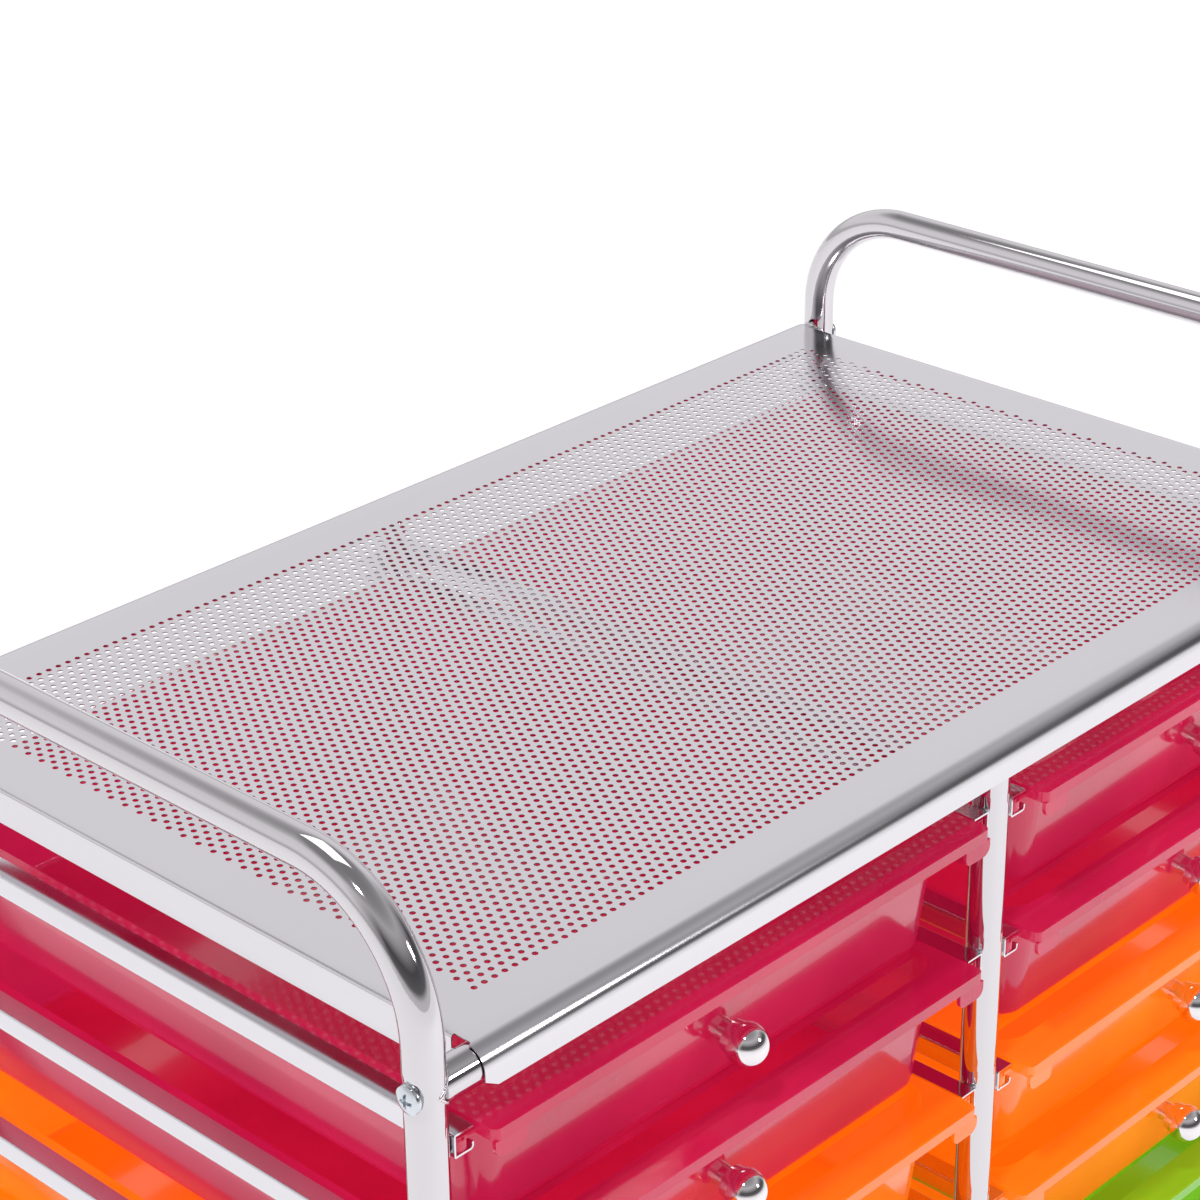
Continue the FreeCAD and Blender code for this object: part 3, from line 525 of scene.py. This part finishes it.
def sheet_lines(rows):
    """The lines that the sheet's plain margins and folds share.

    In x at the left margin, the right one and all across, and in y over a margin and all along.
    """
    near, far, step = rows[0][1], rows[1][2], HOLE_PITCH / 2
    edge_low, edge_high = PANEL_LOW.x + SIDE_FOLD_RADIUS, PANEL_HIGH.x - SIDE_FOLD_RADIUS
    left, right = np.linspace(edge_low, near, 6), np.linspace(far, edge_high, 6)
    across = np.concatenate([left[:-1], np.arange(near, far + step / 2, step), right[1:]])
    field = rows[-1][0] + HOLE_ROW_PITCH / 2
    margin = np.append(np.linspace(field, SIDE_FOLD_HALF, 4), LEG_Y)
    inside = (np.arange(HOLE_ROWS + 1) - HOLE_ROWS / 2) * HOLE_ROW_PITCH
    along = np.concatenate([-margin[:0:-1], inside, margin[1:]])
    return left, right, across, margin, along


def strip(xs, ys):
    """A flat grid of quads over the given lines."""
    return [(x, y) for y in ys for x in xs], grid_faces(len(xs), len(ys))


def top_panel():
    """The perforated sheet with its margins, rolled edges and side folds, in one thickness."""
    *field, rows = perforated_field()
    parts = [field]
    w, h = HOLE_PITCH / 2, HOLE_ROW_PITCH / 2
    left_lines, right_lines, across, margin, along = sheet_lines(rows)
    for y, left, right in rows:
        blocks = [left_lines, right_lines, [left_lines[-1], left], [right, right_lines[0]]]
        parts += [strip(xs, (y - h, y + h)) for xs in blocks if xs[-1] - xs[0] > w / 2]
    parts += [strip(across, ys) for ys in (-margin[::-1], margin)]
    flat, faces = join(parts)
    fold_lines = along[abs(along) < SIDE_FOLD_HALF + 1]
    shapes = [([(x, y, PANEL_Z - sag(x, y)) for x, y in flat], faces)]
    shapes += [rolled_edge(end, across) for end in (-1, 1)]
    shapes += [side_fold(side, fold_lines) for side in (-1, 1)]
    item = make_object("perforated_top", join(shapes), "frame", PANEL_STEEL)
    merge = item.modifiers.new("seams", "WELD")
    merge.merge_threshold = 0.02 * MM
    sheet = item.modifiers.new("sheet", "SOLIDIFY")
    sheet.thickness = PANEL_SHEET * MM
    sheet.offset = -1
    item.data.materials.append(HOLE_EDGE)
    sheet.material_offset_rim = 1
    settle(item)
    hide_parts("top_panel")


def rolled_edge(end, across):
    """The sheet rolled over a top tube, and its skirt with cut corners."""
    profile = arc((LEG_Y, TOP_TUBE_Z), ROLL_RADIUS, 90, 0, 12)
    profile += [(LEG_Y + ROLL_RADIUS, PANEL_LOW.z + SKIRT_BEVEL[1]),
                (LEG_Y + ROLL_RADIUS, PANEL_LOW.z)]
    points = []
    share = (across - across[0]) / (across[-1] - across[0])
    for i, (y, z) in enumerate(profile):
        cut = SKIRT_BEVEL[0] if i == len(profile) - 1 else 0
        low, high = PANEL_LOW.x + cut, PANEL_HIGH.x - cut
        if i == 0:
            low, high = PANEL_LOW.x + SIDE_FOLD_RADIUS, PANEL_HIGH.x - SIDE_FOLD_RADIUS
        points.extend((x, end * y, z) for x in low + share * (high - low))
    return points, grid_faces(len(across), len(profile), flip=end < 0)


def side_fold(side, ys):
    """The folded-down end of the sheet, short of the corners."""
    edge = PANEL_HIGH.x if side > 0 else PANEL_LOW.x
    turn = arc((0, 0), SIDE_FOLD_RADIUS, 90, 0, 5)
    profile = [(edge - side * (SIDE_FOLD_RADIUS - x), PANEL_Z - SIDE_FOLD_RADIUS + z)
               for x, z in turn]
    profile.append((edge, PANEL_LOW.z + SIDE_FOLD_CUT))
    profile.append((edge, PANEL_LOW.z))
    points = []
    for i, (x, z) in enumerate(profile):
        drop = [sag(x, y) if i == 0 else 0 for y in ys]
        inset = SIDE_FOLD_CUT if i == len(profile) - 1 else 0
        points.extend((x, y * (1 - inset / SIDE_FOLD_HALF), z - d) for y, d in zip(ys, drop))
    return points, grid_faces(len(ys), len(profile), flip=side > 0)


# Channel rails
def channel_profile():
    """The rail's section about its top outer corner, opening towards +x."""
    half, bend, hook = RAIL_SHEET / 2, RAIL_BEND, RAIL_HOOK_BEND
    line = [(RAIL_FLANGE, -half)]
    line += arc((bend, -bend), bend - half, 90, 180, 4)
    line += arc((bend, -RAIL_DEPTH + bend), bend - half, 180, 270, 4)
    line += arc((RAIL_FLANGE - hook, -RAIL_DEPTH + hook), hook - half, 270, 360, 5)
    line.append((RAIL_FLANGE - half, -RAIL_DEPTH + RAIL_HOOK_TOP))
    line = np.array(line)
    tangent = np.gradient(line, axis=0)
    tangent /= np.linalg.norm(tangent, axis=1)[:, None]
    normal = np.column_stack([-tangent[:, 1], tangent[:, 0]])
    return np.vstack([line + half * normal, (line - half * normal)[::-1]])


def rail_stack(x, opening):
    """One rail for each row, with its back at x and its opening towards +x or -x."""
    shapes = []
    profile = channel_profile()
    ends = (-RAIL_HALF_LENGTH, 0, RAIL_HALF_LENGTH)
    for top in RAIL_TOPS:
        rings = [[(x + opening * px, y, top + pz) for px, pz in profile] for y in ends]
        shapes.append(bridge(rings))
    return shapes


def rails():
    """The four stacks of rails as the three pieces of the frame."""
    stacks = {"left_outer_rails": [(-RAIL_FACE_X, 1)], "right_outer_rails": [(RAIL_FACE_X, -1)],
              "centre_rails": [(TUBE_RADIUS, 1), (-TUBE_RADIUS, -1)]}
    for node, places in stacks.items():
        shapes = [shape for x, opening in places for shape in rail_stack(x, opening)]
        item = make_object(f"{node}_folded", join(shapes), "frame", RAIL_STEEL, 30)
        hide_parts(node)


# Trays
def tray_shape(low, high):
    """A moulded tray for a node's box, about the box's middle, with z = 0 at its rails' top."""
    half = (high.x - low.x) / 2
    rail_edge = half + RUNNER_TO_RAIL + RAIL_SHEET - RAIL_FLANGE
    wall_x, lip_half = rail_edge - WALL_TO_RAIL, rail_edge - LIP_TO_RAIL
    front, back = low.y, high.y
    wall_front, wall_back = front + LIP_DEPTH, back - REAR_LEDGE
    rim_front = -RAIL_HALF_LENGTH + RIM_INSET
    floor = low.z - high.z + LIP_RISE
    slope = math.tan(TRAY_DRAFT)

    def wall_ring(lean, z):
        """The walls' outline at a height, leaning in."""
        radius = max(TRAY_CORNER - lean, 1.5)
        return at_height(rounded_box(-wall_x + lean, wall_x - lean, wall_front + lean,
                                     wall_back - lean, radius), z)

    def floor_ring(inset, turn):
        """A ring on the rounded edge between the walls and the floor."""
        bend = TRAY_EDGE - inset
        lowest = floor + inset
        z = lowest + bend * (1 - math.cos(turn))
        lean = (RIM_TOP - lowest - bend) * slope + inset + bend * (1 - math.sin(turn))
        return wall_ring(lean, z)

    turns = [math.radians(a) for a in (0, 22, 45, 67, 90)]
    outer = [floor_ring(0, turn) for turn in turns]
    inner = [floor_ring(TRAY_WALL, turn) for turn in reversed(turns)]
    mouth = rounded_box(-wall_x + TRAY_WALL, wall_x - TRAY_WALL, wall_front + TRAY_WALL,
                        wall_back - TRAY_WALL, TRAY_CORNER - TRAY_WALL)
    ledge = rounded_box(-half, half, rim_front, back, RIM_CORNER)
    rim_under = RIM_TOP - TRAY_WALL
    parts = [bridge([*outer, wall_ring(TRAY_WALL * slope, rim_under),
                     at_height(ledge, rim_under), at_height(ledge, RIM_TOP),
                     at_height(mouth, RIM_TOP), *inner])]
    for side in (-1, 1):
        a, b = sorted((side * (half - RUNNER_WIDTH), side * half))
        runner = rounded_box(a, b, rim_front, back, RIM_CORNER)
        parts.append(bridge([at_height(runner, RIM_TOP - RUNNER_DROP),
                             at_height(runner, RIM_TOP - RUNNER_SUNK)]))
    parts.append(lip_shape(lip_half, front, wall_front, mouth))
    parts += tab_shapes(lip_half, front)
    return join(parts)


def lip_shape(lip_half, front, wall_front, mouth):
    """The lip over the front wall: a plate with a thin skirt along its front and ends."""
    back = wall_front + TRAY_CORNER
    rear_corners = (SQUARE_CORNER,) * 2
    outside = rounded_box(-lip_half, lip_half, front, back, (LIP_CORNER,) * 2 + rear_corners)
    inside = rounded_box(-lip_half + TRAY_WALL, lip_half - TRAY_WALL, front + TRAY_WALL,
                         back - TRAY_WALL, (LIP_INNER_CORNER,) * 2 + rear_corners)
    hole = [(x, min(y, back - SQUARE_CORNER)) for x, y in mouth]
    skirt_end = LIP_RISE - SKIRT_HEIGHT
    rings = [at_height(inside, skirt_end), at_height(outside, skirt_end),
             at_height(outside, LIP_RISE), at_height(hole, LIP_RISE),
             at_height(hole, LIP_RISE - LIP_PLATE), at_height(inside, LIP_RISE - TRAY_WALL)]
    return bridge(rings, loop=True)


def tab_shapes(lip_half, front):
    """The deeper tab under each end of the lip."""
    tabs = []
    outer, inner = lip_half - TAB_INSET, lip_half - TAB_WIDTH
    low, top = LIP_RISE - TAB_HEIGHT, LIP_RISE - SKIRT_HEIGHT + TAB_OVERLAP
    a, b = TAB_CORNERS
    outline = [(outer, top)] + arc((outer - a, low + a), a, 0, -90, 6)
    outline += arc((inner + b, low + b), b, 270, 180, 6) + [(inner, top)]
    for side in (-1, 1):
        rings = [[(side * x, y, z) for x, z in outline]
                 for y in (front + TAB_INSET, front + TRAY_WALL - TAB_INSET)]
        points, faces = bridge(rings)
        tabs.append((points, faces if side > 0 else [face[::-1] for face in faces]))
    return tabs


def tray_size(row):
    """The first rows have shallow trays and the last rows deep ones."""
    return "small" if row < SMALL_ROWS else "large"


def trays():
    """Twenty trays of two sizes, coloured in pairs of rows."""
    meshes = {}
    for side_word in ("left", "right"):
        for row in range(ROWS):
            node = f"{side_word}_drawer_{row + 1:02d}"
            low, high = node_box(node)
            size = tray_size(row)
            if size not in meshes:
                meshes[size] = new_mesh(f"{size}_tray", *tray_shape(low, high),
                                        PLASTICS[ROW_SLOTS[row]], outwards=True)
            item = add_object(f"{node}_moulded", meshes[size])
            item.location = Vector(((low.x + high.x) / 2, 0, RAIL_TOPS[row])) * MM
            item.material_slots[0].link = "OBJECT"
            item.material_slots[0].material = PLASTICS[ROW_SLOTS[row]]
            soften(item, 0.5)
            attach(item, f"{side_word}_tray_{row + 1:02d}")
            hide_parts(node)


# Knobs
def knob_profile():
    """Reach from the wall and radius: stem, collar with a sharp ridge, and a ball."""
    profile = [(-0.3, 4.6), (0.4, 4.5), (3.4, 4.5), (4.0, 5.2), (4.3, 6.7), (7.9, 7.3), (8.5, 7.2)]
    ball_start = 8.6
    start = math.acos((ball_start - KNOB_BALL_CENTRE) / KNOB_BALL)
    for turn in np.linspace(start, math.radians(1), 26):
        profile.append((KNOB_BALL_CENTRE + KNOB_BALL * math.cos(turn),
                        KNOB_BALL * math.sin(turn)))
    return profile


def knob_seat(drawer, row):
    """Where a knob's stem meets the leaning front wall."""
    low, high = node_box(drawer)
    drop = KNOB_DROPS[tray_size(row)]
    lean = (drop + RIM_TOP) * math.tan(TRAY_DRAFT)
    return Vector(((low.x + high.x) / 2, low.y + LIP_DEPTH + lean, RAIL_TOPS[row] - drop))


def knobs():
    """One knob for each tray, square to its front wall."""
    points, faces = lathe(knob_profile(), 56)
    points = [(y, -x, z) for x, y, z in points]
    mesh = new_mesh("turned_knob", points, faces, KNOB_CHROME, 35, outwards=True)
    tilt = Matrix.Rotation(TRAY_DRAFT, 4, "X")
    for side_word in ("left", "right"):
        for row in range(ROWS):
            node = f"{side_word}_knob_{row + 1:02d}"
            item = add_object(f"{node}_turned", mesh)
            seat = knob_seat(f"{side_word}_drawer_{row + 1:02d}", row)
            item.matrix_world = Matrix.Translation(seat * MM) @ tilt
            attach(item, f"{side_word}_tray_{row + 1:02d}")
            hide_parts(node)


# Casters
def wheel_profile():
    """Reach and radius across a wheel: bore, hollow face, rounded rim and a seam at the middle."""
    width, radius = WHEEL_HALF_WIDTH, WHEEL_RADIUS
    hollow, rim = 2.6, 2.4
    half = [(width, 3.2), (width, 9.0), (width - hollow, 10.5), (width - hollow, 18.6),
            (width, 20.0), (width, 22.4)]
    half += [(width - rim * (1 - math.cos(turn)), 22.6 + rim * math.sin(turn))
             for turn in np.radians([15, 35, 60, 90])]
    half += [(1.0, radius), (0.8, radius - 0.35)]
    return [(-x, r) for x, r in half] + half[::-1]


def dress(node, material):
    """Give a carried node its material."""
    node.data.materials.clear()
    node.data.materials.append(material)


def casters():
    """Smooth wheels, and finishes for the forks and sockets that the frame carries."""
    wheel = lathe(wheel_profile(), 72)
    for end in ("front", "rear"):
        for side in ("left", "right"):
            node = f"{end}_{side}_caster_wheel"
            low, high = node_box(node)
            item = make_object(f"{node}_moulded", moved(wheel, *(low + high) / 2),
                               f"{end}_{side}_roller", WHEEL_BLACK, 30, outwards=True)
            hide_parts(node)
            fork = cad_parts[f"{end}_{side}_caster_fork"]
            dress(fork, FORK_STEEL)
            soften(fork, 0.35)
    dress(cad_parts["caster_sockets"], SOCKET_BLACK)


# Studio: pale walls under a dim ceiling, with a darker band above the front's horizon.
# Each stop is (place, brightness), where place runs from 0 straight down to 1 straight up.
FRONT_LEVELS = ((0.0, 0.9), (1.0, 0.25), (0.5, 0.62), (0.545, 0.13), (0.65, 0.08), (0.70, 0.18),
                (0.77, 0.36), (0.84, 0.50), (0.92, 0.34))
REAR_LEVELS = ((0.0, 0.9), (1.0, 0.25), (0.495, 0.9), (0.505, 0.55), (0.56, 0.60), (0.60, 0.80),
               (0.66, 0.88), (0.80, 0.82), (0.90, 0.28))


def studio_floor():
    """A plain pale floor."""
    half = 9000
    corners = [(-half, -half, 0), (half, -half, 0), (half, half, 0), (-half, half, 0)]
    material, _, _, shader = new_material("studio_floor")
    shader.inputs["Base Color"].default_value = (0.92, 0.92, 0.93, 1)
    shader.inputs["Roughness"].default_value = 0.9
    shader.inputs["Emission Color"].default_value = (1, 1, 1, 1)
    shader.inputs["Emission Strength"].default_value = 0.3
    mesh = new_mesh("studio_floor", corners, [[0, 1, 2, 3]], material)
    add_object("studio_floor", mesh)


def studio_world():
    """The two halves of the backdrop, each a ramp over height, blended between front and rear."""
    world = bpy.data.worlds.new("studio")
    bpy.context.scene.world = world
    world.use_nodes = True
    nodes, links = world.node_tree.nodes, world.node_tree.links
    place = nodes.new("ShaderNodeTexCoord")
    split = nodes.new("ShaderNodeSeparateXYZ")
    links.new(place.outputs["Generated"], split.inputs["Vector"])
    rise = nodes.new("ShaderNodeMapRange")
    rise.inputs["From Min"].default_value = -1
    links.new(split.outputs["Z"], rise.inputs["Value"])
    side = nodes.new("ShaderNodeMapRange")
    side.inputs["From Min"].default_value = -0.3
    side.inputs["From Max"].default_value = 0.2
    links.new(split.outputs["Y"], side.inputs["Value"])
    mix = nodes.new("ShaderNodeMix")
    mix.data_type = "RGBA"
    links.new(side.outputs["Result"], mix.inputs["Factor"])
    for half, levels in (("A", FRONT_LEVELS), ("B", REAR_LEVELS)):
        ramp = nodes.new("ShaderNodeValToRGB")
        links.new(rise.outputs["Result"], ramp.inputs["Fac"])
        links.new(ramp.outputs["Color"], mix.inputs[half])
        stops = ramp.color_ramp.elements
        for i, (position, level) in enumerate(levels):
            stop = stops[i] if i < 2 else stops.new(position)
            stop.position = position
            stop.color = (level, level * 0.985, level * 1.01, 1)
    back = nodes["Background"]
    links.new(mix.outputs["Result"], back.inputs["Color"])
    back.inputs["Strength"].default_value = 1.0


def studio_lights():
    """A soft sun as the key, a small fill from the front right and a lamp over the cart."""
    lights = (("key", "SUN", (-1300, -500, 3300), math.radians(6), 1.15),
              ("fill", "AREA", (1500, -2600, 2300), 0.5, 16),
              ("top", "AREA", (300, 900, 3700), 1.6, 14))
    aim_at = Vector((0, 0, 700)) * MM
    for name, kind, spot, size, power in lights:
        light = bpy.data.lights.new(name, kind)
        light.energy = power
        if kind == "SUN":
            light.angle = size
        else:
            light.size = size
        lamp = add_object(name, light)
        lamp.location = Vector(spot) * MM
        aim = aim_at - lamp.location
        lamp.rotation_euler = aim.to_track_quat("-Z", "Y").to_euler()
    bpy.context.scene.view_settings.view_transform = "Standard"


def camera():
    """The photograph's own view: from the front left and above, on the top and the first rows."""
    heading, pitch, roll = math.radians(46.17), math.radians(25.91), math.radians(-0.83)
    place = Vector((-880.35, -806.07, PANEL_Z + 583.67)) * MM
    ahead = Vector((math.sin(heading) * math.cos(pitch), math.cos(heading) * math.cos(pitch),
                    -math.sin(pitch)))
    right = Vector((math.cos(heading), -math.sin(heading), 0))
    up = right.cross(ahead)
    right, up = (right * math.cos(roll) + up * math.sin(roll),
                 up * math.cos(roll) - right * math.sin(roll))
    data = bpy.data.cameras.new("camera")
    data.sensor_width = 36
    data.lens = 94.15
    item = add_object("camera", data)
    turn = Matrix((right, up, -ahead)).transposed().to_4x4()
    item.matrix_world = Matrix.Translation(place) @ turn
    bpy.context.scene.camera = item


for word, side in (("left", -1), ("right", 1)):
    side_frame(word, side)
straight_tubes()
welds()
screws()
top_panel()
rails()
trays()
knobs()
casters()
studio_floor()
studio_world()
studio_lights()
camera()
